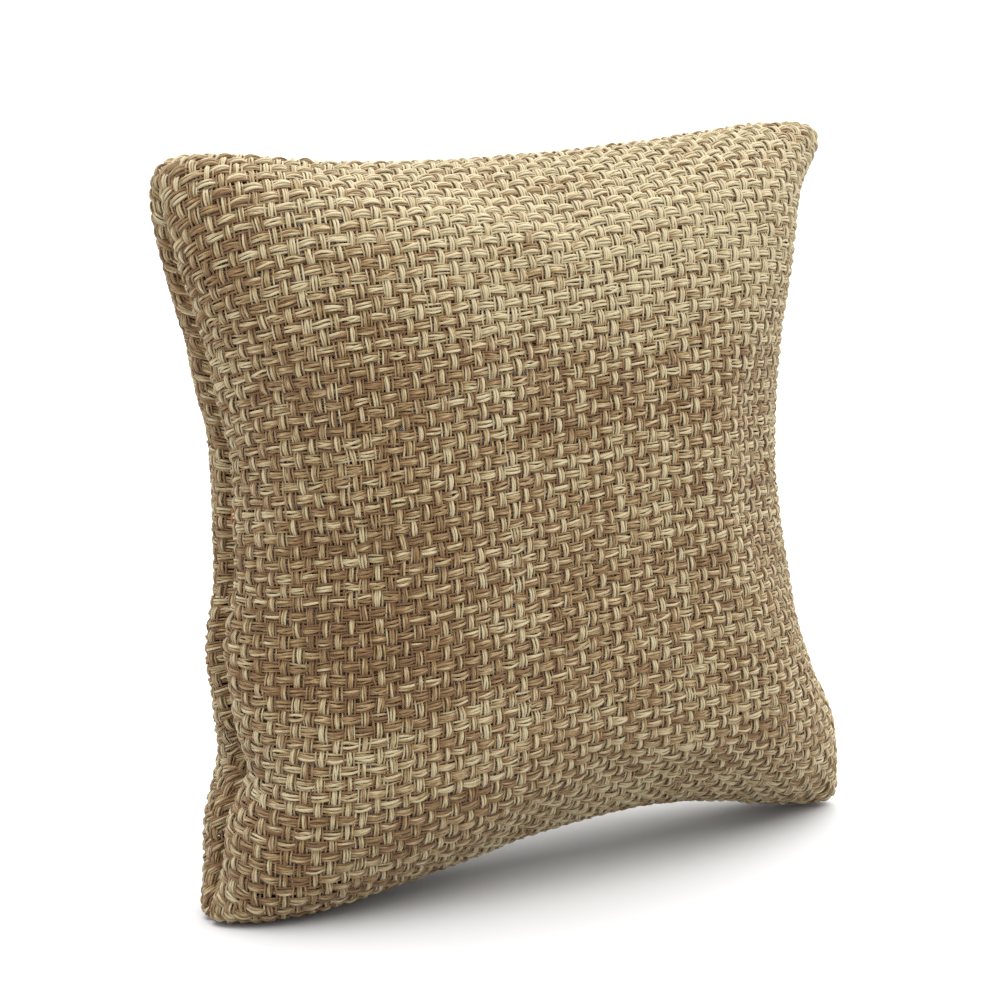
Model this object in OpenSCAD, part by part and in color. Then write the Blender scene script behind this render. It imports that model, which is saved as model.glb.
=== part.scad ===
// Small square stuffed pillow with a coarse woven cover, standing on its two lower corners.
// +Z is up, the front face looks along -Y, and the origin is on the floor under the middle.

/* [Pillow] */
// Distance between neighbouring corners once stuffed, before they are rounded off
corner_span = 97; // [80:1:120]
// Greatest thickness, front to back
thickness = 38; // [32:1:46]
// How far the middle of each side is drawn in from the line between its corners
waist_pull = 7.4; // [4:0.2:9]
// How full the crown is: 2 is an ellipse, and more is flatter with steeper sides
crown_power = 2.6; // [2.2:0.1:3]
// How far the stuffing and the turned seam round off each corner
corner_rounding = 1.5; // [1:0.1:2]
// How far the two lower corners are pressed flat by standing
foot_flat = 2.4; // [2:0.1:2.8]

/* [Cloth] */
// Thickness of the woven cloth, two yarns high
cloth = 1.6; // [1.2:0.1:1.8]
// Width of the raw edge turned inside along the seam
seam_allowance = 8; // [7:0.5:10]
// Depth of the groove where the two panels meet
groove = 1.8; // [1.2:0.1:2]

/* [Stitching] */
// Length of one machine stitch
stitch = 3; // [2.5:0.1:4]
// Thickness of the sewing thread
thread = 0.44; // [0.3:0.02:0.5]
// Height of the lower end of the hand-closed opening, in the left side
opening_low = 18; // [14:1:22]
// Length of the hand-closed opening
opening_length = 42; // [30:1:50]

/* [Hidden] */
$fn = 16;

half = corner_span / 2;
side_wall = cloth + 1.6;      // the cloth stands on edge beside the seam
stitch_inset = side_wall + thread;
seam_gap = 0.02;              // keeps the two panels separate solids
clearance = 0.03;
fill_gap = 0.3;
steps = 30;                   // grid squares along each side of a panel

// Grid lines from -1 to 1, closer together towards the seam.
function spaced(i) = sin(90 * (2 * i / steps - 1));

// Place in the X-Z plane of panel coordinates u, v (-1 to 1), for an outline of the given half-width.
function plan(u, v, h) =
    let (waist = waist_pull / half, round_off = corner_rounding / half * pow(abs(u * v), 14))
    [h * u * (1 - waist * (1 - v * v)) * (1 - round_off),
     h * v * (1 - waist * (1 - u * u)) * (1 - round_off)];

// Height of the crown, from 0 on the seam to 1 in the middle. It leaves the seam more steeply than an ellipse.
edge_fullness = 0.45;
function crown(u, v) = pow(max(0, (1 - pow(abs(u), crown_power)) * (1 - pow(abs(v), crown_power))), edge_fullness);

// Height of the pillow's middle, with the lower corners pressed flat on the floor.
corner_reach = max([for (i = [0:steps], j = [0:steps]) plan(spaced(i), spaced(j), half)[1]]);
mid_height = corner_reach - foot_flat;

function lifted(p, y) = [p[0], y, p[1] + mid_height];

// A crowned sheet: its rim is at depth base and drawn in by rim_inset, and its middle is rise further out.
function sheet(h, base, rise, rim_inset = 0) =
    [for (j = [0:steps], i = [0:steps])
        let (u = spaced(i), v = spaced(j), rim = (i == 0 || j == 0 || i == steps || j == steps))
        lifted(plan(u, v, rim ? h - rim_inset : h), base + rise * crown(u, v))];

// The grid indices of the rim, going once round from the lower left corner.
function rim_index(k) =
    let (side = floor(k / steps), t = k % steps)
    side == 0 ? t
    : side == 1 ? t * (steps + 1) + steps
    : side == 2 ? steps * (steps + 1) + steps - t
    : (steps - t) * (steps + 1);

// The rim's outline at half-width h and depth y.
function ring(h, y) =
    [for (k = [0 : 4 * steps - 1])
        let (at = rim_index(k))
        lifted(plan(spaced(at % (steps + 1)), spaced(floor(at / (steps + 1))), h), y)];

// Triangles over the grid, each square split along the line that runs from the nearest corner to the middle.
function grid_faces(first, turn) =
    [for (j = [0 : steps - 1], i = [0 : steps - 1])
        let (a = first + j * (steps + 1) + i, b = a + 1, c = b + steps + 1, d = c - 1,
             rising = (i < steps / 2) == (j < steps / 2),
             pair = rising ? [[a, b, c], [a, c, d]] : [[a, b, d], [b, c, d]])
        each turn ? pair : [for (t = pair) [t[2], t[1], t[0]]]];

function strip_faces(lower, upper) =
    [for (k = [0 : len(lower) - 1])
        let (next = (k + 1) % len(lower))
        each [[lower[k], lower[next], upper[next]], [lower[k], upper[next], upper[k]]]];

// A closed solid from an outer sheet, two rings inside its rim and a second sheet.
module between_sheets(outer, ring_a, ring_b, inner) {
    count = len(outer);
    ring_count = len(ring_a);
    rim = [for (k = [0 : ring_count - 1]) rim_index(k)];
    ids_a = [for (k = [0 : ring_count - 1]) count + k];
    ids_b = [for (k = [0 : ring_count - 1]) count + ring_count + k];
    inner_first = count + 2 * ring_count;
    inner_rim = [for (r = rim) inner_first + r];
    polyhedron(
        points = concat(outer, ring_a, ring_b, inner),
        faces = concat(
            grid_faces(0, false),
            strip_faces(rim, ids_a),
            strip_faces(ids_a, ids_b),
            strip_faces(ids_b, inner_rim),
            grid_faces(inner_first, true)));
}

// Everything above the floor.
module standing() {
    intersection() {
        children();
        translate([-corner_span, -thickness, 0]) cube([2 * corner_span, 2 * thickness, 2 * corner_span]);
    }
}

// One panel of cloth: the crown, and its edge turned inside along the seam.
module panel() {
    difference() {
        standing()
            between_sheets(
                sheet(half, -seam_gap / 2, seam_gap / 2 - thickness / 2, groove),
                ring(half - seam_allowance, -seam_gap / 2),
                ring(half - seam_allowance, -cloth),
                sheet(half - side_wall, -cloth, 2 * cloth - thickness / 2));
        needle_holes();
    }
}

module front_panel() {
    color("burlywood") panel();
}

module back_panel() {
    color("tan") mirror([0, 1, 0]) panel();
}

// The loose polyester fibre inside, which leaves the turned edges free.
module fibre_filling() {
    edge_depth = cloth + thread + fill_gap;
    fill_half = half - side_wall - fill_gap;
    rise = thickness / 2 - cloth - fill_gap - edge_depth;
    ring_half = half - seam_allowance - fill_gap;
    color("white")
        between_sheets(
            sheet(fill_half, -edge_depth, -rise),
            ring(ring_half, -edge_depth),
            ring(ring_half, edge_depth),
            sheet(fill_half, edge_depth, rise));
}

// Needle point on one side of the seam (0 bottom, 1 right, 2 top, 3 left), at share t of the side, -1 to 1.
// The stitching cuts each corner a little, where the cloth is closest together.
function seam_point(side, t) =
    let (h = (half - stitch_inset) * (1 - 0.03 * pow(t, 10)),
         q = side == 0 ? [t, -1] : side == 1 ? [1, t] : side == 2 ? [-t, 1] : [-1, -t])
    plan(q[0], q[1], h);

stitches_per_side = floor(corner_span / stitch);
opening_from = opening_low - mid_height;
opening_to = opening_from + opening_length;

// The machine stitching runs all the way round, from below the opening to above it.
function side_points(side) = [for (k = [0 : stitches_per_side - 1]) seam_point(side, 2 * k / stitches_per_side - 1)];
machine_points = concat(
    [for (p = side_points(3)) if (p[1] < opening_from - stitch / 2) p],
    side_points(0), side_points(1), side_points(2),
    [for (p = side_points(3)) if (p[1] > opening_to + stitch / 2) p]);
last_stitch = len(machine_points) - 1;

// Which way a line of points runs at point k.
function heading(points, k) =
    let (d = points[min(k + 1, len(points) - 1)] - points[max(k - 1, 0)])
    d / norm(d);

run_depth = cloth + clearance + thread / 2; // the runs lie on the turned edge
leg_end = thread / 2 + clearance;           // the two threads meet in the middle of the seam
leg_apart = thread / 2 + clearance;

// The thread's outline at one bend: back or forth of point p along heading d, at a depth, leaning by the mitre.
thread_sides = 6;
function bend(p, d, along, depth, lift, lean) =
    [for (i = [0 : thread_sides - 1])
        let (a = thread / 2 * cos(360 * (i + 0.5) / thread_sides), b = thread / 2 * sin(360 * (i + 0.5) / thread_sides))
        [p[0] + d[0] * (along + lean * b) + d[1] * a,
         -depth - lift * b,
         p[1] + d[1] * (along + lean * b) - d[0] * a + mid_height]];

// One length of thread through a list of bends.
module thread_through(bends) {
    count = len(bends);
    end_cap = [for (i = [0 : thread_sides - 1]) i];
    polyhedron(
        points = [for (outline = bends) each outline],
        faces = concat(
            [end_cap],
            [for (r = [0 : count - 2], i = [0 : thread_sides - 1])
                let (a = r * thread_sides + i, b = r * thread_sides + (i + 1) % thread_sides)
                each [[a, a + thread_sides, b], [b, a + thread_sides, b + thread_sides]]],
            [[for (i = end_cap) count * thread_sides - 1 - i]]));
}

// The thread on one face of the seam, dipping into every needle hole.
module machine_thread() {
    thread_through([for (k = [0:last_stitch])
        let (p = machine_points[k], d = heading(machine_points, k))
        each [
            if (k > 0) bend(p, d, -leg_apart, run_depth, 1, 1),
            bend(p, d, -leg_apart, leg_end, k > 0 ? 1 : 0, 1),
            bend(p, d, leg_apart, leg_end, k < last_stitch ? 1 : 0, -1),
            if (k < last_stitch) bend(p, d, leg_apart, run_depth, 1, -1)]]);
}

// Slots between the yarns where the needle went through the turned edge.
module needle_holes() {
    for (k = [0:last_stitch]) {
        p = machine_points[k];
        d = heading(machine_points, k);
        translate([p[0], -cloth / 2, p[1] + mid_height])
            rotate([0, atan2(d[0], d[1]), 0])
                cube([thread + 4 * clearance, cloth + 0.3, 2 * (leg_apart + thread / 2 + 2 * clearance)], center = true);
    }
}

module needle_thread() {
    color("peru") machine_thread();
}

module bobbin_thread() {
    color("sienna") mirror([0, 1, 0]) machine_thread();
}

// The hand stitching that draws the opening shut: rungs across the groove, joined along each side in turn.
rungs = floor(opening_length / stitch);
rung_reach = 0.7;
wall_u = spaced(steps - 1);
closing_points =
    [for (k = [0:rungs])
        let (v = (opening_from + opening_length * k / rungs) / half,
             slope = (half * wall_u - half + groove) / (thickness / 2 * crown(wall_u, v)))
        plan(-1, v, half - groove + slope * rung_reach + thread / 2 + 4 * clearance)];

module closing_thread() {
    color("peru")
        thread_through([for (k = [0:rungs])
            let (p = closing_points[k], d = heading(closing_points, k), turn = k % 2 == 0 ? 1 : -1)
            each [
                bend(p, d, 0, turn * rung_reach, k > 0 ? 1 : 0, turn),
                bend(p, d, 0, -turn * rung_reach, k < rungs ? 1 : 0, turn)]]);
}

front_panel();
back_panel();
fibre_filling();
needle_thread();
bobbin_thread();
closing_thread();
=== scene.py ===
import math
import bpy
import numpy as np
from mathutils import Matrix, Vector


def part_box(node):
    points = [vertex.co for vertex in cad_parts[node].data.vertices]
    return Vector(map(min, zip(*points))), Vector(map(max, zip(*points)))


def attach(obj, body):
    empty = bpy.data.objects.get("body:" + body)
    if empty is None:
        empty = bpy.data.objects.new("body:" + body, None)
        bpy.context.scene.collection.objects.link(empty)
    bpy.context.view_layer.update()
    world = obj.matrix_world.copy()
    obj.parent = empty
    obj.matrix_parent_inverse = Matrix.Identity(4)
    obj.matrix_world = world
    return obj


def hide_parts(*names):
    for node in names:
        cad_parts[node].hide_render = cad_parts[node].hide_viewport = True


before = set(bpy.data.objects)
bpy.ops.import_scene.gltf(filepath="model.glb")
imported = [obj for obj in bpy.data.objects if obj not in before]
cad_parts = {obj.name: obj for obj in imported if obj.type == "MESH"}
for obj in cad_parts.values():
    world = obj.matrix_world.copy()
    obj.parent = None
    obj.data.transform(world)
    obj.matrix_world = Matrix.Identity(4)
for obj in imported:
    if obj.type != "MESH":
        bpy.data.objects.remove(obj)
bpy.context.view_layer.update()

MM = 0.001

# ---------------------------------------------------------------- sizes, in metres
FLAT = 0.100            # side of a flat panel between its seams
WARPS, WEFTS = 60, 70   # yarns that run up and across a panel
BANDS = 4               # pieces that a panel's warp or weft is made in
CORE_STRANDS = 3        # strands that lie close together in a yarn
SIDE_STRANDS = 2        # thinner ones that stray into the gaps on both sides of it
STRANDS = CORE_STRANDS + SIDE_STRANDS
RINGS_PER_CROSSING = 4
STRAND_SIDES = 4
CRIMP = 0.25 * MM       # how far a yarn rises and dips
CRIMP_SQUARENESS = 0.8  # below 1, a yarn is flatter on top and steeper between
STRAND_HALF = {"warp": 0.15 * MM, "weft": 0.17 * MM}
STRAND_WIDE, STRAND_THICK = 1.12, 0.95
SIDE_STRAND_SIZE = 0.85
CORE_SPREAD = {"warp": 0.18 * MM, "weft": 0.25 * MM}  # of core strands, from their yarn's middle
SIDE_SPREAD = {"warp": 0.58 * MM, "weft": 0.52 * MM}  # of side strands
SIDE_SUNK = 0.08 * MM   # how far side strands lie below the others
STRAND_RISE = 0.07 * MM
TWIST_PITCH = 14 * MM
HALF_CLOTH = 0.6 * MM
SEAM_CALM, SEAM_CALM_REACH = 0.5, 1.5 * MM  # yarns are held flatter at the seam, by this share

node_low, node_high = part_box("front_panel")
CAD_WIDTH = node_high[0] - node_low[0]
CAD_TOP = node_high[2]
MIDDLE_Z = CAD_TOP - CAD_WIDTH / 2


# ---------------------------------------------------------------- smooth surfaces from grids
def blend_rows(at, cells):
    """Catmull-Rom weights, and their slopes, that take cells + 1 even values on 0 to 1 to the places at."""
    at = np.clip(np.asarray(at, float), 0, 1) * cells
    k = np.minimum(at.astype(int), cells - 1)
    t = at - k
    w = [
        (-t + 2 * t**2 - t**3) / 2,
        (2 - 5 * t**2 + 3 * t**3) / 2,
        (t + 4 * t**2 - 3 * t**3) / 2,
        (-(t**2) + t**3) / 2,
    ]
    d = [
        (-1 + 4 * t - 3 * t**2) / 2,
        (-10 * t + 9 * t**2) / 2,
        (1 + 8 * t - 9 * t**2) / 2,
        (-2 * t + 3 * t**2) / 2,
    ]
    rows, slopes = np.zeros((len(at), cells + 1)), np.zeros((len(at), cells + 1))
    r = np.arange(len(at))
    for step in range(4):
        col = k + step - 1
        for out, weight in ((rows, w[step]), (slopes, d[step] * cells)):
            inside = (col >= 0) & (col <= cells)
            np.add.at(out, (r[inside], col[inside]), weight[inside])
            # past an end, the value carries straight on
            low, high = col < 0, col > cells
            np.add.at(out, (r[low], 0), 2 * weight[low])
            np.add.at(out, (r[low], 1), -weight[low])
            np.add.at(out, (r[high], cells), 2 * weight[high])
            np.add.at(out, (r[high], cells - 1), -weight[high])
    return rows, slopes


def sample(grid, v_at, u_at):
    """Places, and directions along u and along v, on a grid's smooth surface."""
    cells = grid.shape[0] - 1
    wv, dv = blend_rows(v_at, cells)
    wu, du = blend_rows(u_at, cells)
    rows, row_slopes = np.tensordot(wv, grid, 1), np.tensordot(dv, grid, 1)
    across = lambda part, weights: np.einsum("abx,cb->acx", part, weights, optimize=True)
    return across(rows, wu), across(rows, du), across(row_slopes, wu)


def unit(v):
    return v / np.maximum(np.linalg.norm(v, axis=-1, keepdims=True), 1e-12)


def bell(x, width):
    """1 where x is 0, falling smoothly to 0."""
    return np.exp(-((x / width) ** 2))


# ---------------------------------------------------------------- the pillow's own shape
DRAFT_CELLS = 160
SIM_CELLS = 60
SEAM_CELLS = 120
EVENING_ROUNDS = 4
HALF = 49.1 * MM        # from the middle to the line between two corners, before they are rounded off
CROWN = 35.0 * MM       # thickness at the middle, before the cloth's own
CROWN_POWER, EDGE_FULLNESS = 3.9, 0.50
CORNER_ROUND, CORNER_SHARPNESS = 3.2 * MM, 10
# How far the middle of each side is drawn in, and how far that leans towards the right or top.
DRAWN_IN = {
    "left": (8.4 * MM, 0.08),
    "right": (13.2 * MM, 0.24),
    "top": (3.5 * MM, -0.2),
    "bottom": (8.0 * MM, 0.5),
}
# How far each corner is off the square, across and up.
CORNER_OFF = {
    (-1, -1): (0.9 * MM, 0),
    (1, -1): (-1.0 * MM, 0.6 * MM),
    (1, 1): (0.8 * MM, -0.8 * MM),
    (-1, 1): (1.0 * MM, -0.5 * MM),
}
GROOVE, GROOVE_WIDTH = 2.6 * MM, 1.9 * MM
GROOVE_LOST, GROOVE_LOST_REACH = 0.55, 5 * MM  # the groove is shallower at corners, by this share
# Pinches in the seam, and swells (a depth below zero):
# side, share along it, depth, length along it, reach over the panel.
PINCHES = [
    ("left", 0.235, 3.2 * MM, 4.0 * MM, 7.0 * MM),
    ("left", 0.225, 2.0 * MM, 4.5 * MM, 2.6 * MM),
    ("left", 0.11, 1.6 * MM, 6.0 * MM, 7.0 * MM),
    ("left", 0.62, 0.7 * MM, 6.0 * MM, 7.0 * MM),
    ("left", 0.385, -1.8 * MM, 5.5 * MM, 8.0 * MM),
    ("right", 0.18, -1.9 * MM, 6.0 * MM, 8.0 * MM),
    ("right", 0.86, 3.7 * MM, 7.5 * MM, 10.0 * MM),
    ("bottom", 0.36, -0.7 * MM, 7.0 * MM, 8.0 * MM),
    ("bottom", 0.86, -0.5 * MM, 5.0 * MM, 8.0 * MM),
]
PINCH_THINS = 0.1       # a pinch thins the pillow by this share
# Dents in the front: share across, share up, radius, depth.
DENTS = [(0.89, 0.055, 4.5 * MM, 1.8 * MM), (0.055, 0.25, 5.0 * MM, 1.2 * MM)]


def drafted():
    """The front panel as it should look when stuffed, as a grid of places that is finer towards the seam."""
    at = np.sin(np.pi / 2 * np.linspace(-1, 1, DRAFT_CELLS + 1))
    u, v = np.meshgrid(at, at)

    def pulled(along, side):
        depth, lean = DRAWN_IN[side]
        return depth * (1 + lean * along) * (1 - along**2)

    x = HALF * u - np.where(u < 0, -pulled(v, "left"), pulled(v, "right")) * abs(u)
    z = HALF * v - np.where(v < 0, -pulled(u, "bottom"), pulled(u, "top")) * abs(v)
    round_off = 1 - CORNER_ROUND / HALF * abs(u * v) ** CORNER_SHARPNESS
    x, z = x * round_off, z * round_off
    for (su, sv), (dx, dz) in CORNER_OFF.items():
        near = ((1 + su * u) / 2 * (1 + sv * v) / 2) ** 2
        x, z = x + dx * near, z + dz * near
    fullness = np.maximum(0, (1 - abs(u) ** CROWN_POWER) * (1 - abs(v) ** CROWN_POWER))
    h = CROWN / 2 * fullness**EDGE_FULLNESS
    return np.stack([x, -h, z], -1)


def even_rows(grid, cells):
    """Moves the places along each row until they are evenly spaced over the surface."""
    step = np.linalg.norm(np.diff(grid, axis=1), axis=2)
    run = np.concatenate([np.zeros((len(grid), 1)), np.cumsum(step, axis=1)], axis=1)
    out = np.empty((len(grid), cells + 1, 3))
    for j in range(len(grid)):
        at = np.linspace(0, run[j, -1], cells + 1)
        for k in range(3):
            out[j, :, k] = np.interp(at, run[j], grid[j, :, k])
    return out


def woven(grid, cells):
    """The same surface with its grid evenly spaced both ways, as yarns are."""
    for _ in range(EVENING_ROUNDS):
        grid = even_rows(grid, DRAFT_CELLS)
        grid = even_rows(grid.swapaxes(0, 1), DRAFT_CELLS).swapaxes(0, 1)
    grid = even_rows(grid, cells)
    return even_rows(grid.swapaxes(0, 1), cells).swapaxes(0, 1)


# ---------------------------------------------------------------- cloth simulation
SIM_SCALE = 10.0        # the simulation works better on a pillow a metre wide
SIM_FRAMES = 18
MOST_MOVED = 1.5 * MM   # the simulation may move a point by no more than this
SEAM_GATHER = 0.03      # the seam's thread draws its edge up by this share


def stuffed(front):
    """Sews the front panel to its mirror image and stuffs them by cloth simulation; gives both as grids."""
    n = SIM_CELLS
    points, front_at, back_at = [], np.zeros((n + 1, n + 1), int), np.zeros((n + 1, n + 1), int)
    for j in range(n + 1):
        for i in range(n + 1):
            x, y, z = front[j, i] * SIM_SCALE
            front_at[j, i] = back_at[j, i] = len(points)
            if i in (0, n) or j in (0, n):
                points.append((x, 0, z))
            else:
                back_at[j, i] += 1
                points += [(x, y, z), (x, -y, z)]
    corner = lambda at: np.stack([at[:-1, :-1], at[:-1, 1:], at[1:, 1:], at[1:, :-1]], -1).reshape(-1, 4)
    faces = np.concatenate([corner(front_at), corner(back_at)[:, ::-1]])
    mesh = bpy.data.meshes.new("stuffing_run")
    mesh.from_pydata(points, [], faces.tolist())
    pillow = bpy.data.objects.new("stuffing_run", mesh)
    bpy.context.scene.collection.objects.link(pillow)
    seam = pillow.vertex_groups.new(name="seam")
    for depth, weight in ((0, 1.0), (1, 0.5)):
        ring = np.zeros((n + 1, n + 1), bool)
        ring[depth : n + 1 - depth, depth : n + 1 - depth] = True
        ring[depth + 1 : n - depth, depth + 1 : n - depth] = False
        seam.add(np.unique(np.concatenate([front_at[ring], back_at[ring]])).tolist(), weight, "REPLACE")
    cloth = pillow.modifiers.new("Cloth", "CLOTH")
    s = cloth.settings
    s.quality = 8
    s.mass = 0.3
    s.air_damping = 5
    s.tension_stiffness, s.compression_stiffness = 40, 20
    s.shear_stiffness, s.bending_stiffness = 5, 8
    s.tension_damping = s.compression_damping = s.shear_damping = 25
    s.bending_damping = 0.5
    s.use_pressure = True
    s.uniform_pressure_force = 0.8
    s.vertex_group_shrink = "seam"
    s.shrink_min, s.shrink_max = 0.0, SEAM_GATHER
    s.effector_weights.gravity = 0
    cloth.collision_settings.use_collision = False
    cloth.point_cache.frame_start, cloth.point_cache.frame_end = 1, SIM_FRAMES
    scene = bpy.context.scene
    scene.frame_end = SIM_FRAMES
    for f in range(1, SIM_FRAMES + 1):
        scene.frame_set(f)
    done = pillow.evaluated_get(bpy.context.evaluated_depsgraph_get())
    place = np.empty(len(points) * 3)
    done.data.vertices.foreach_get("co", place)
    place = place.reshape(-1, 3) / SIM_SCALE
    bpy.data.objects.remove(pillow)
    bpy.data.meshes.remove(mesh)
    scene.frame_set(1)
    start = np.asarray(points) / SIM_SCALE
    moved = place - start
    moved *= MOST_MOVED / np.sqrt(MOST_MOVED**2 + (moved**2).sum(1, keepdims=True))
    place = start + moved
    return place[front_at], place[back_at]


def finished(front, back):
    """The panels after stuffing, as fine grids, with the seam drawn in to a groove and its pinches."""
    out = []
    at = np.linspace(0, 1, SEAM_CELLS + 1)
    u, v = np.meshgrid(at, at)
    from_side = {"left": u * FLAT, "right": (1 - u) * FLAT, "bottom": v * FLAT, "top": (1 - v) * FLAT}
    inward = {"left": (1, 0, 0), "right": (-1, 0, 0), "bottom": (0, 0, 1), "top": (0, 0, -1)}
    share = {"left": v, "right": v, "bottom": u, "top": u}
    for grid, side in ((front, -1), (back, 1)):
        place, along_u, along_v = sample(grid, at, at)
        normal = unit(np.cross(along_u, along_v)) * (1 if side < 0 else -1)
        place += normal * HALF_CLOTH
        for name, d in from_side.items():
            end = np.minimum(share[name], 1 - share[name]) * FLAT
            depth = GROOVE * (1 - GROOVE_LOST * bell(end, GROOVE_LOST_REACH))
            place += (depth * bell(d, GROOVE_WIDTH))[..., None] * np.array(inward[name])
        for name, where, depth, length, reach in PINCHES:
            pull = depth * bell((share[name] - where) * FLAT, length) * bell(from_side[name], reach)
            place += pull[..., None] * np.array(inward[name])
            place[..., 1] *= 1 - PINCH_THINS * pull / abs(depth)
        if side < 0:
            for across, up, radius, depth in DENTS:
                place[..., 1] += depth * bell(np.hypot(u - across, v - up) * FLAT, radius)
        place[..., 2] += MIDDLE_Z
        out.append(place)
    return out


FOOT_SOFT = 0.8 * MM
FOOT_FREE = 20          # this many times FOOT_SOFT above the floor, nothing is pressed


def press_on_floor(place, floor):
    """Presses what would sink below the floor flat on it, with a soft bend."""
    z = (place[..., 2] - floor) / FOOT_SOFT
    pressed = np.log1p(np.exp(np.minimum(z, FOOT_FREE)))
    place[..., 2] = floor + FOOT_SOFT * np.where(z > FOOT_FREE, z, pressed)


# ---------------------------------------------------------------- yarns
rng = np.random.default_rng(478)
# How yarns and strands stray from a perfect weave: how much, and how many knots that has over a yarn.
SWAY = (0.14 * MM, 40)
PLUMPNESS = (0.16, 50)
TWIST_CHANGE = (0.25, 24)
LOOSENESS = (0.5, 70)
CORE_LIFT = (0.05 * MM, 80)
SIDE_SWAY = (0.35, 60)
SIDE_LIFT = (0.09 * MM, 60)
SIZE_CHANGE = (0.22, 60)
# Tones: above zero is paler.
# Painted shade: side strands lie sunk in the gaps between yarns and are painted browner for the shade that
# falls there.
SIDE_PAINTED_SHADE = -1.8        # of side strands
# Painted shade: a yarn is painted browner where it dips under another yarn and paler where it lies on top.
OVER_PAINTED_SHADE = 2.0         # how much paler a yarn is where it passes over than under


def wander(count, places, way_to_stray):
    """count smooth random lines."""
    amount, knots = way_to_stray
    rows, _ = blend_rows(np.linspace(0, 1, places), knots)
    return amount * (rng.normal(0, 0.5, (count, knots + 1)) @ rows.T)


UV_MARGIN = 0.08        # free share on both sides of each tube's row in the UV map


def tubes(name, path, normal, half_across, half_up, sides, tags):
    """Closed tubes along many paths. path and normal are (tube, ring, 3); the halves are (tube, ring)."""
    count, rings, _ = path.shape
    along = unit(np.gradient(path, axis=1))
    across = unit(np.cross(along, normal))
    up = np.cross(across, along)
    turn = 2 * np.pi * (np.arange(sides) + 0.5) / sides
    ring = (
        across[:, :, None] * (np.cos(turn)[:, None] * half_across[:, :, None, None])
        + up[:, :, None] * (np.sin(turn)[:, None] * half_up[:, :, None, None])
    )
    points = (path[:, :, None] + ring).reshape(-1, 3)
    first = np.arange(count * rings).reshape(count, rings) * sides
    k = np.arange(sides)
    nxt = (k + 1) % sides
    a = first[:, :-1, None] + k
    b = first[:, :-1, None] + nxt
    c = first[:, 1:, None] + nxt
    d = first[:, 1:, None] + k
    quads = np.stack([a, b, c, d], -1).reshape(-1, 4)
    step = np.linalg.norm(np.diff(path, axis=1), axis=2)
    length = np.concatenate([np.zeros((count, 1)), np.cumsum(step, axis=1)], axis=1)
    length = length / length[:, -1:]
    lu = np.stack([length[:, :-1], length[:, :-1], length[:, 1:], length[:, 1:]], -1)
    lu = np.repeat(lu[:, :, None], sides, axis=2)
    row = np.arange(count)[:, None, None, None]
    kv = np.stack([k, k + 1, k + 1, k], -1)[None, None] / sides
    lv = (row + UV_MARGIN + (1 - 2 * UV_MARGIN) * np.broadcast_to(kv, lu.shape)) / count
    caps = np.concatenate([first[:, 0, None] + k[::-1], first[:, -1, None] + k])
    mesh = bpy.data.meshes.new(name)
    mesh.vertices.add(len(points))
    mesh.vertices.foreach_set("co", points.ravel())
    loops = np.concatenate([quads.ravel(), caps.ravel()])
    mesh.loops.add(len(loops))
    mesh.loops.foreach_set("vertex_index", loops.astype(np.int32))
    starts = np.concatenate([np.arange(len(quads)) * 4, len(quads) * 4 + np.arange(len(caps)) * sides])
    mesh.polygons.add(len(starts))
    mesh.polygons.foreach_set("loop_start", starts.astype(np.int32))
    mesh.update(calc_edges=True)
    uv = np.zeros((len(loops), 2))
    uv[: len(quads) * 4, 0] = lu.ravel()
    uv[: len(quads) * 4, 1] = lv.ravel()
    cap_row = np.repeat(np.concatenate([np.arange(count), np.arange(count)]), sides)
    uv[len(quads) * 4 :, 0] = np.repeat([0.0, 1.0], count * sides)
    uv[len(quads) * 4 :, 1] = (cap_row + 0.5) / count
    layer = mesh.uv_layers.new(name="OFBake")
    layer.data.foreach_set("uv", uv.ravel())
    for key, value in tags.items():
        attribute = mesh.attributes.new(key, "FLOAT", "POINT")
        attribute.data.foreach_set("value", np.repeat(value, sides).ravel())
    mesh.polygons.foreach_set("use_smooth", np.ones(len(starts), bool))
    piece = bpy.data.objects.new(name, mesh)
    bpy.context.scene.collection.objects.link(piece)
    return piece


# Stretches of browner or paler cloth, some of them painted light and shade: share across, share up,
# half-width and half-height as shares, tone.
TONE_AND_PAINTED_LIGHT_PATCHES = [
    (0.06, 0.84, 0.07, 0.07, -1.8),
    (0.27, 0.93, 0.12, 0.06, 0.8),
    (0.24, 0.70, 0.16, 0.06, -1.4),
    (0.56, 0.64, 0.10, 0.05, -0.9),
    (0.26, 0.46, 0.15, 0.11, -1.5),
    (0.32, 0.35, 0.26, 0.035, -1.0),
    (0.20, 0.28, 0.08, 0.04, 1.2),
    (0.35, 0.18, 0.10, 0.05, -1.1),
    (0.12, 0.10, 0.10, 0.08, -1.4),
    # Painted light: these two broad pale stretches across the top stand for the lamp falling on the top of
    # the panel.
    (0.70, 0.96, 0.50, 0.15, 2.2),
    (0.60, 0.79, 0.42, 0.11, 2.5),
    # Painted shade: this long browner stretch down the left side stands for the side turned away from the
    # lamp.
    (0.12, 0.42, 0.20, 0.36, -0.6),
]


def tone_and_painted_light_of(s, fixed, way):
    """How pale the cloth is along yarns at fixed places across a panel, painted light and shade included:
    below zero is browner.
    """
    across, up = (fixed[:, None], s) if way == "warp" else (s, fixed[:, None])
    tone_and_painted_light = 0.0
    for x, y, wide, tall, amount in TONE_AND_PAINTED_LIGHT_PATCHES:
        tone_and_painted_light = tone_and_painted_light + amount * bell((across - x) / wide, 1) * bell((up - y) / tall, 1)
    return tone_and_painted_light


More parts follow.
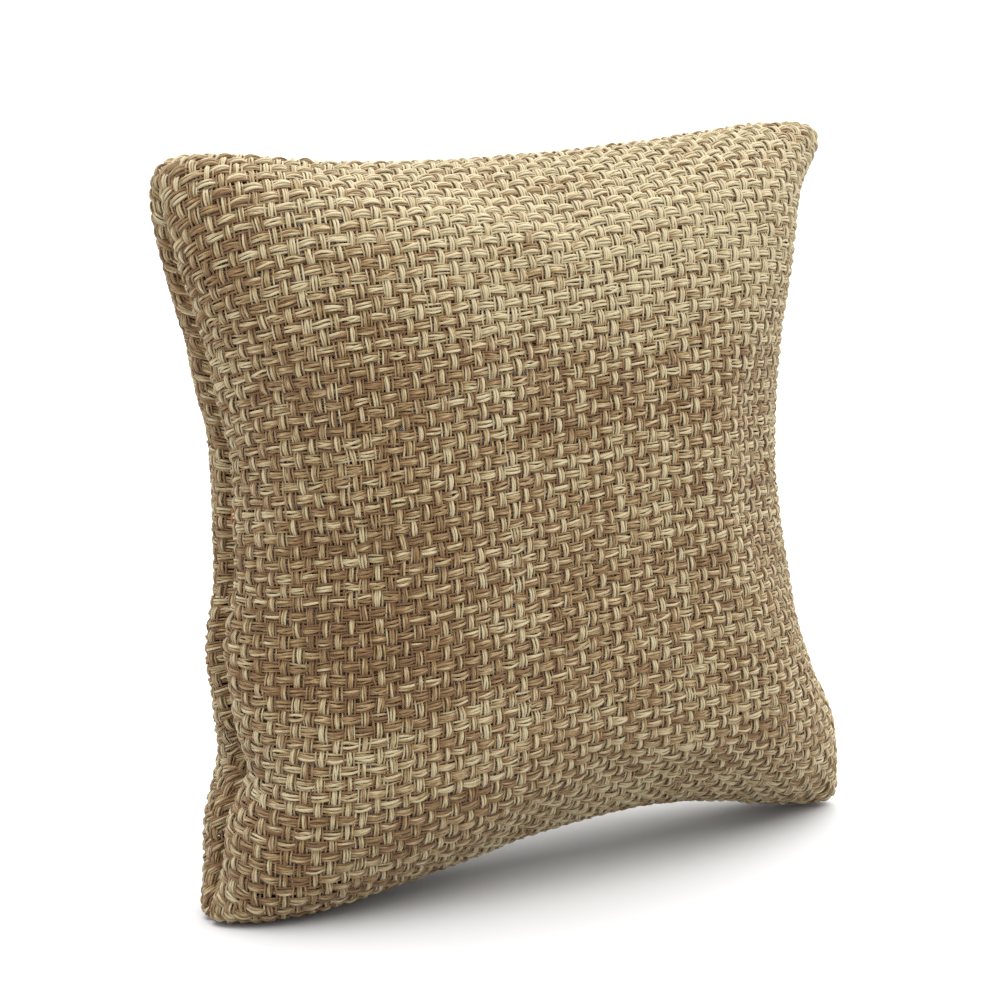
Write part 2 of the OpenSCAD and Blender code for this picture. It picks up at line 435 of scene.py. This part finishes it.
def weave(panel, side, way, first, last, name, material, node):
    """The strands of yarns first to last - 1 of a panel, running up (way "warp") or across (way "weft")."""
    count = last - first
    yarns, crossings = (WARPS, WEFTS) if way == "warp" else (WEFTS, WARPS)
    rings = crossings * RINGS_PER_CROSSING + 1
    s = np.linspace(0, 1, rings)
    fixed = (np.arange(first, last) + 0.5) / yarns
    if way == "warp":
        place, along_u, along_v = sample(panel, s, fixed)
        place, along_u, along_v = (np.swapaxes(x, 0, 1) for x in (place, along_u, along_v))
    else:
        place, along_u, along_v = sample(panel, fixed, s)
    normal = unit(np.cross(along_u, along_v)) * (1 if side < 0 else -1)
    along = unit(along_v if way == "warp" else along_u)
    across = unit(np.cross(along, normal))
    parity = (np.arange(first, last) % 2)[:, None]
    wave = np.cos(np.pi * (s * crossings - 0.5) + np.pi * parity) * (1 if way == "warp" else -1)
    wave = np.sign(wave) * np.abs(wave) ** CRIMP_SQUARENESS
    near_end = np.minimum(s, 1 - s) * FLAT
    calm = 1 - SEAM_CALM * bell(near_end, SEAM_CALM_REACH)
    sway = wander(count, rings, SWAY)
    plump = 1 + wander(count, rings, PLUMPNESS)
    turns = rng.random((count, 1)) + s * FLAT / TWIST_PITCH + wander(count, rings, TWIST_CHANGE)
    turn = 2 * np.pi * turns
    over = np.clip(0.5 + 0.5 * wave, 0, 1)
    patch_and_painted_light = tone_and_painted_light_of(s, fixed, way)
    paths, normals, wide, thick, ids, tones_and_painted_light = [], [], [], [], [], []
    for k in range(STRANDS):
        angle = turn + 2 * np.pi * k / CORE_STRANDS
        loose = 1 + wander(count, rings, LOOSENESS)
        if k < CORE_STRANDS:
            lateral = sway + np.cos(angle) * CORE_SPREAD[way] * (0.8 + 0.3 * over) * plump * loose
            height = wave * CRIMP * calm + np.sin(angle) * STRAND_RISE + wander(count, rings, CORE_LIFT)
        else:
            lateral = sway + (-1) ** k * SIDE_SPREAD[way] * (1 + wander(count, rings, SIDE_SWAY))
            height = 0.5 * wave * CRIMP * calm - SIDE_SUNK + wander(count, rings, SIDE_LIFT)
        paths.append(place + across * lateral[..., None] + normal * height[..., None])
        normals.append(normal)
        size = STRAND_HALF[way] * (1 if k < CORE_STRANDS else SIDE_STRAND_SIZE)
        size = size * (1 + wander(count, rings, SIZE_CHANGE))
        wide.append(size * STRAND_WIDE)
        thick.append(size * STRAND_THICK)
        ids.append(np.broadcast_to((np.arange(first, last) * STRANDS + k)[:, None], (count, rings)))
        # Each strand's own random tone; side strands also get their painted shade.
        own = rng.normal(0, 1, (count, 1)) + (0 if k < CORE_STRANDS else SIDE_PAINTED_SHADE)
        # Own tone, plus the painted light and shade of the stretches, plus the painted shade where the yarn
        # dips under others.
        tones_and_painted_light.append(own + patch_and_painted_light + OVER_PAINTED_SHADE * (over - 0.5))
    order = lambda parts: np.stack(parts, 1).reshape((count * STRANDS, rings) + parts[0].shape[2:])
    piece = tubes(
        name, order(paths), order(normals), order(wide), order(thick), STRAND_SIDES,
        {"strand": order(ids).astype(float), "tone_and_painted_light": order(tones_and_painted_light)},
    )
    piece.data.materials.append(material)
    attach(piece, "root")
    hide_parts(node)


# ---------------------------------------------------------------- materials
def srgb(r, g, b):
    return tuple(((c / 255 + 0.055) / 1.055) ** 2.4 if c > 10 else c / 255 / 12.92 for c in (r, g, b)) + (1,)


class Nodes:
    """A material, and short ways to add nodes to it."""

    def __init__(self, name):
        self.material = bpy.data.materials.new(name)
        self.material.use_nodes = True
        self.tree = self.material.node_tree
        self.shader = self.tree.nodes["Principled BSDF"]

    def add(self, kind, inputs=None, **settings):
        node = self.tree.nodes.new(kind)
        for key, value in settings.items():
            setattr(node, key, value)
        for key, value in (inputs or {}).items():
            self.feed(node.inputs[key], value)
        return node

    def feed(self, socket, value):
        if isinstance(value, bpy.types.NodeSocket):
            self.tree.links.new(value, socket)
        else:
            socket.default_value = value

    def math(self, op, a, b=0.0, c=0.0):
        node = self.add("ShaderNodeMath", {0: a, 1: b, 2: c}, operation=op)
        return node.outputs[0]

    def noise(self, vector, scale, detail=2.0, rough=0.5):
        return self.add(
            "ShaderNodeTexNoise", {"Vector": vector, "Scale": scale, "Detail": detail, "Roughness": rough}
        ).outputs["Fac"]

    def ramp(self, fac, stops):
        node = self.add("ShaderNodeValToRGB", {0: fac})
        while len(node.color_ramp.elements) < len(stops):
            node.color_ramp.elements.new(0.5)
        for element, (at, colour) in zip(node.color_ramp.elements, stops):
            element.position, element.color = at, colour
        return node.outputs[0]

    def vector(self, x, y, z=0.0):
        return self.add("ShaderNodeCombineXYZ", {0: x, 1: y, 2: z}).outputs[0]


BROWN = srgb(104, 76, 47)
TAN = srgb(126, 98, 64)
STRAW = srgb(149, 129, 93)
CREAM = srgb(175, 162, 129)
# How much each of these changes a strand's place between brown (0) and cream (about 1).
STRAND_MELANGE, YARN_MELANGE, TONE_AND_PAINTED_LIGHT_WEIGHT, FIBRE_MELANGE = 2.6, 1.0, 0.15, 1.8
FIBRES_ROUND = 8.0      # fineness of the fibres round a strand


def yarn_material(name, bias, seed):
    """Yarn whose strands drift between brown and cream over a few millimetres, streaked by fibres, and made
    paler or browner by a tone that also carries painted light and shade.
    """
    n = Nodes(name)
    uv = n.add("ShaderNodeUVMap", uv_map="OFBake").outputs[0]
    split = n.add("ShaderNodeSeparateXYZ", {0: uv})
    along = n.math("MULTIPLY", split.outputs[0], FLAT / MM)  # about a millimetre to the unit
    round_it = n.math("MULTIPLY", split.outputs[1], 60.0)
    strand = n.add("ShaderNodeAttribute", attribute_name="strand").outputs["Fac"]
    tone_and_painted_light = n.add("ShaderNodeAttribute", attribute_name="tone_and_painted_light").outputs["Fac"]
    lane = n.math("MULTIPLY_ADD", strand, 7.31, seed)
    drift = n.noise(n.vector(n.math("MULTIPLY", along, 0.16), lane), 1.0, 2.0, 0.55)
    yarn = n.math("FLOOR", n.math("DIVIDE", strand, float(STRANDS)))
    yarn_at = n.vector(n.math("MULTIPLY", along, 0.06), n.math("MULTIPLY", yarn, 3.77), seed)
    yarn_drift = n.noise(yarn_at, 1.0, 1.0)
    fibre_at = n.vector(n.math("MULTIPLY", along, 0.9), n.math("MULTIPLY", round_it, FIBRES_ROUND), lane)
    fibre = n.noise(fibre_at, 1.0, 3.0, 0.6)
    value = n.math("MULTIPLY_ADD", n.math("SUBTRACT", drift, 0.5), STRAND_MELANGE, 0.5 + bias)
    value = n.math("ADD", value, n.math("MULTIPLY", n.math("SUBTRACT", yarn_drift, 0.5), YARN_MELANGE))
    # The tone attribute holds each strand's own random tone together with painted light and painted shade.
    value = n.math("ADD", value, n.math("MULTIPLY", tone_and_painted_light, TONE_AND_PAINTED_LIGHT_WEIGHT))
    value = n.math("ADD", value, n.math("MULTIPLY", n.math("SUBTRACT", fibre, 0.5), FIBRE_MELANGE))
    colour = n.ramp(value, [(0.0, BROWN), (0.34, TAN), (0.62, STRAW), (0.95, CREAM)])
    n.feed(n.shader.inputs["Base Color"], colour)
    n.feed(n.shader.inputs["Roughness"], n.math("MULTIPLY_ADD", fibre, 0.25, 0.55))
    n.shader.inputs["Specular IOR Level"].default_value = 0.25
    n.shader.inputs["Sheen Weight"].default_value = 0.2
    n.shader.inputs["Sheen Roughness"].default_value = 0.4
    bump = n.add("ShaderNodeBump", {"Height": fibre, "Strength": 0.55, "Distance": 0.12 * MM})
    n.feed(n.shader.inputs["Normal"], bump.outputs[0])
    return n.material


def filling_material():
    """White fibre, browned by the shade of the cloth over it in all but a few wisps."""
    n = Nodes("polyester_fibre")
    where = n.add("ShaderNodeTexCoord").outputs["Object"]
    finer = n.add("ShaderNodeVectorMath", {0: where, 1: (900, 300, 1400)}, operation="MULTIPLY")
    wisps = n.noise(finer.outputs[0], 1.0, 4.0, 0.65)
    shades = [(0.50, srgb(158, 128, 92)), (0.64, srgb(232, 234, 240))]
    n.feed(n.shader.inputs["Base Color"], n.ramp(wisps, shades))
    n.feed(n.shader.inputs["Roughness"], n.math("MULTIPLY_ADD", wisps, 0.3, 0.6))
    n.shader.inputs["Sheen Weight"].default_value = 0.3
    bump = n.add("ShaderNodeBump", {"Height": wisps, "Strength": 0.8, "Distance": 0.3 * MM})
    n.feed(n.shader.inputs["Normal"], bump.outputs[0])
    return n.material


PLY_TURNS, PLIES = 900.0, 2.0


def thread_material(name, dark, light):
    """Thread of twisted plies, with painted shade in the grooves between them."""
    n = Nodes(name)
    uv = n.add("ShaderNodeUVMap", uv_map="OFBake").outputs[0]
    split = n.add("ShaderNodeSeparateXYZ", {0: uv})
    turned = n.math("MULTIPLY", split.outputs[0], PLY_TURNS)
    twist = n.math("ADD", turned, n.math("MULTIPLY", split.outputs[1], PLIES))
    ply = n.math("SINE", n.math("MULTIPLY", twist, 2 * math.pi))
    # Painted shade: the thread is painted darker where the bump sinks between plies and paler on the ply
    # tops.
    shade = n.math("MULTIPLY_ADD", ply, 0.25, 0.5)
    n.feed(n.shader.inputs["Base Color"], n.ramp(shade, [(0.2, dark), (0.8, light)]))
    n.feed(n.shader.inputs["Roughness"], n.math("MULTIPLY_ADD", shade, 0.2, 0.45))
    bump = n.add("ShaderNodeBump", {"Height": shade, "Strength": 0.6, "Distance": 0.08 * MM})
    n.feed(n.shader.inputs["Normal"], bump.outputs[0])
    return n.material


# ---------------------------------------------------------------- make the pillow
front_grid, back_grid = finished(*stuffed(woven(drafted(), SIM_CELLS)))
for grid in (front_grid, back_grid):
    press_on_floor(grid, HALF_CLOTH)

warp_yarn = yarn_material("warp_yarn", 0.16, 3.0)
weft_yarn = yarn_material("weft_yarn", 0.02, 41.0)
for panel, side, label in ((front_grid, -1, "front"), (back_grid, 1, "back")):
    node, slot = f"{label}_panel", f"{label}_cloth"
    for way, yarns, material in (("warp", WARPS, warp_yarn), ("weft", WEFTS, weft_yarn)):
        ends = [round(yarns * band / BANDS) for band in range(BANDS + 1)]
        for band in range(BANDS):
            name = f"{label}_{way}_{band + 1}"
            weave(panel, side, way, ends[band], ends[band + 1], name, material, node)


def closed_pillow(name, front, back, material):
    """One closed mesh from a front and a back grid."""
    rows, cols = front.shape[:2]
    at = np.arange(rows * cols).reshape(rows, cols)
    faces = []
    for offset, flip in ((0, False), (rows * cols, True)):
        q = np.stack([at[:-1, :-1], at[:-1, 1:], at[1:, 1:], at[1:, :-1]], -1).reshape(-1, 4) + offset
        faces.append(q[:, ::-1] if flip else q)
    rim = np.concatenate([at[0, :-1], at[:-1, -1], at[-1, :0:-1], at[:0:-1, 0]])
    nxt = np.roll(rim, -1)
    faces.append(np.stack([nxt, rim, rim + rows * cols, nxt + rows * cols], -1))
    mesh = bpy.data.meshes.new(name)
    points = np.concatenate([front.reshape(-1, 3), back.reshape(-1, 3)])
    mesh.from_pydata(points.tolist(), [], np.concatenate(faces).tolist())
    mesh.polygons.foreach_set("use_smooth", np.ones(len(mesh.polygons), bool))
    mesh.update()
    piece = bpy.data.objects.new(name, mesh)
    bpy.context.scene.collection.objects.link(piece)
    piece.data.materials.append(material)
    return piece


FILLING_EDGE = 0.05     # how far inside the seam the filling ends, as a share of a panel
FILLING_POINTS = 109
FILLING_DEPTH = 1.1 * MM  # below the middle of the cloth
FILLING_LUMPS, LUMP_HEIGHT = 40, 0.5 * MM
FILLING_DRAWN = 0.07    # how far it is drawn in from the groove, as a share of its distance from the middle


def filling():
    inner = np.linspace(FILLING_EDGE, 1 - FILLING_EDGE, FILLING_POINTS)
    grids = []
    u, v = np.meshgrid(inner, inner)
    for panel, side in ((front_grid, -1), (back_grid, 1)):
        place, along_u, along_v = sample(panel, inner, inner)
        normal = unit(np.cross(along_u, along_v)) * (1 if side < 0 else -1)
        lumps = np.zeros_like(u)
        for k in range(FILLING_LUMPS):
            wave = rng.normal(0, 1, 2) * (18 + 3.0 * k)
            lumps += np.cos(u * wave[0] + v * wave[1] + rng.random() * 7) / (6 + 0.35 * k)
        depth = FILLING_DEPTH - LUMP_HEIGHT * lumps
        place -= normal * np.clip(depth, 0.7 * MM, 2 * MM)[..., None]
        from_seam = FLAT * np.minimum(np.minimum(u, 1 - u), np.minimum(v, 1 - v))
        drawn = 1 - FILLING_DRAWN * bell(from_seam - FILLING_EDGE * FLAT, 5 * MM)
        place[..., 0] *= drawn
        place[..., 2] = MIDDLE_Z + (place[..., 2] - MIDDLE_Z) * drawn
        grids.append(place)
    piece = closed_pillow("fibre_filling_stuffing", grids[0], grids[1], filling_material())
    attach(piece, "root")
    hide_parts("fibre_filling")


filling()


# ---------------------------------------------------------------- threads
def seam_line(inset):
    """Points once round, inside the seam, from the lower left corner and anticlockwise from the front."""
    rim = (front_grid + back_grid) / 2
    rim = np.concatenate([rim[0, :-1], rim[:-1, -1], rim[-1, :0:-1], rim[:0:-1, 0]])
    middle = np.array([0, 0, MIDDLE_Z])
    return middle + (rim - middle) * (1 - inset / HALF)


THREAD_SIDES = 8


def thread_piece(name, path, thick, material, node):
    path = np.asarray(path)[None]
    normal = np.broadcast_to(np.array([0.3, 1.0, 0.2]), path.shape)
    half = np.full(path.shape[:2], thick / 2)
    piece = tubes(name, path, unit(normal), half, half, THREAD_SIDES, {})
    piece.data.materials.append(material)
    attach(piece, "root")
    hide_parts(node)


def along_line(line, spacing):
    """Even points along a line of points."""
    step = np.linalg.norm(np.diff(line, axis=0), axis=1)
    run = np.concatenate([[0], np.cumsum(step)])
    at = np.arange(0, run[-1], spacing)
    return np.stack([np.interp(at, run, line[:, k]) for k in range(3)], 1)


machine_thread = thread_material("machine_thread", srgb(120, 84, 48), srgb(176, 132, 84))
hand_thread = thread_material("hand_thread", srgb(128, 66, 26), srgb(178, 104, 48))
STITCH = 3 * MM
SEAM_INSET = 2.2 * MM
LOCKSTITCH_STEPS = 6
MACHINE_THREAD, HAND_THREAD = 0.40 * MM, 0.42 * MM
# Lockstitch: each thread dips to the middle once a stitch, and lies on its own panel between.
lockstitch = along_line(seam_line(SEAM_INSET), STITCH / LOCKSTITCH_STEPS)
depth = np.array([0.25, 0.8, 1.3, 1.3, 1.3, 0.8])[np.arange(len(lockstitch)) % LOCKSTITCH_STEPS] * MM
for name, side in (("needle_thread", -1), ("bobbin_thread", 1)):
    path = lockstitch + np.array([0, 1, 0]) * (side * depth)[:, None]
    thread_piece(f"{name}_seam", path, MACHINE_THREAD, machine_thread, name)

OPENING = (18 * MM, 60 * MM)  # heights of the ends of the opening that was closed by hand
LOOSE_STITCH = 49 * MM        # one of its stitches stands out of the groove
LOOSE_STANDS_OUT, LOOSE_LENGTH = 2.3 * MM, 1.6 * MM
SWING = np.array([1, 1, 1, 0, -1, -1, -1, 0]) * 0.8 * MM  # from one panel to the other and back
left = ((front_grid + back_grid) / 2)[:, 0]
run = along_line(left[(left[:, 2] > OPENING[0]) & (left[:, 2] < OPENING[1])], STITCH / 4)
swing = SWING[np.arange(len(run)) % len(SWING)]
inward = np.where(np.abs(swing) > 0, 0.55, 0.05) * MM
inward -= LOOSE_STANDS_OUT * bell(run[:, 2] - LOOSE_STITCH, LOOSE_LENGTH)
path = run + np.stack([inward, swing, np.zeros(len(run))], 1)
thread_piece("closing_thread_seam", path, HAND_THREAD, hand_thread, "closing_thread")


# ---------------------------------------------------------------- floor, light and camera
WORLD_STRENGTH = 1.15
FLOOR_REACH, FLOOR_GREY = 12.0, 0.56
SUN_STRENGTH, SUN_ANGLE = 5.2, 100
SUN_FROM = (0.30, 0.04, 1.0)


def studio():
    scene = bpy.context.scene
    scene.view_settings.view_transform = "Standard"
    world = bpy.data.worlds.new("studio")
    scene.world = world
    world.use_nodes = True
    world.node_tree.nodes["Background"].inputs[0].default_value = (1, 1, 1, 1)
    world.node_tree.nodes["Background"].inputs[1].default_value = WORLD_STRENGTH
    mesh = bpy.data.meshes.new("floor")
    corners = [(x * FLOOR_REACH, y * FLOOR_REACH, 0) for x, y in ((-1, -1), (1, -1), (1, 1), (-1, 1))]
    mesh.from_pydata(corners, [], [(0, 1, 2, 3)])
    floor = bpy.data.objects.new("floor", mesh)
    scene.collection.objects.link(floor)
    n = Nodes("pale_floor")
    n.shader.inputs["Base Color"].default_value = (FLOOR_GREY, FLOOR_GREY, FLOOR_GREY, 1)
    n.shader.inputs["Roughness"].default_value = 0.7
    mesh.materials.append(n.material)

    light = bpy.data.lights.new("soft_sun", "SUN")
    light.energy, light.angle = SUN_STRENGTH, math.radians(SUN_ANGLE)
    lamp = bpy.data.objects.new("soft_sun", light)
    back = unit(np.array(SUN_FROM))
    side = unit(np.cross([0, 1, 0], back))
    lamp.matrix_world = Matrix(np.stack([side, np.cross(back, side), back], 1).tolist()).to_4x4()
    scene.collection.objects.link(lamp)


# Where the camera looks from, in degrees round from the front, above the level and tipped over.
AZIMUTH, ELEVATION, ROLL = -27.0, 8.6, 3.0
CENTRE_IN_VIEW = np.array([2.4, 1.5, 323.5]) * MM  # right of, below and beyond the camera
LENS, SENSOR = 92.9, 36.0


def camera():
    data = bpy.data.cameras.new("camera")
    data.lens, data.sensor_width = LENS, SENSOR
    data.clip_start, data.clip_end = 0.01, 20
    cam = bpy.data.objects.new("camera", data)
    a, e, r = np.radians([AZIMUTH, ELEVATION, ROLL])
    look = -np.array([math.sin(a) * math.cos(e), -math.cos(a) * math.cos(e), math.sin(e)])
    level = unit(np.cross(look, [0, 0, 1]))
    right = level * math.cos(r) - np.cross(level, look) * math.sin(r)
    up = np.cross(right, look)
    x, down, ahead = CENTRE_IN_VIEW
    place = np.array([0, 0, MIDDLE_Z]) - right * x + up * down - look * ahead
    turn = Matrix(np.stack([right, up, -look], 1).tolist()).to_4x4()
    cam.matrix_world = Matrix.Translation(place.tolist()) @ turn
    bpy.context.scene.collection.objects.link(cam)
    bpy.context.scene.camera = cam


studio()
camera()
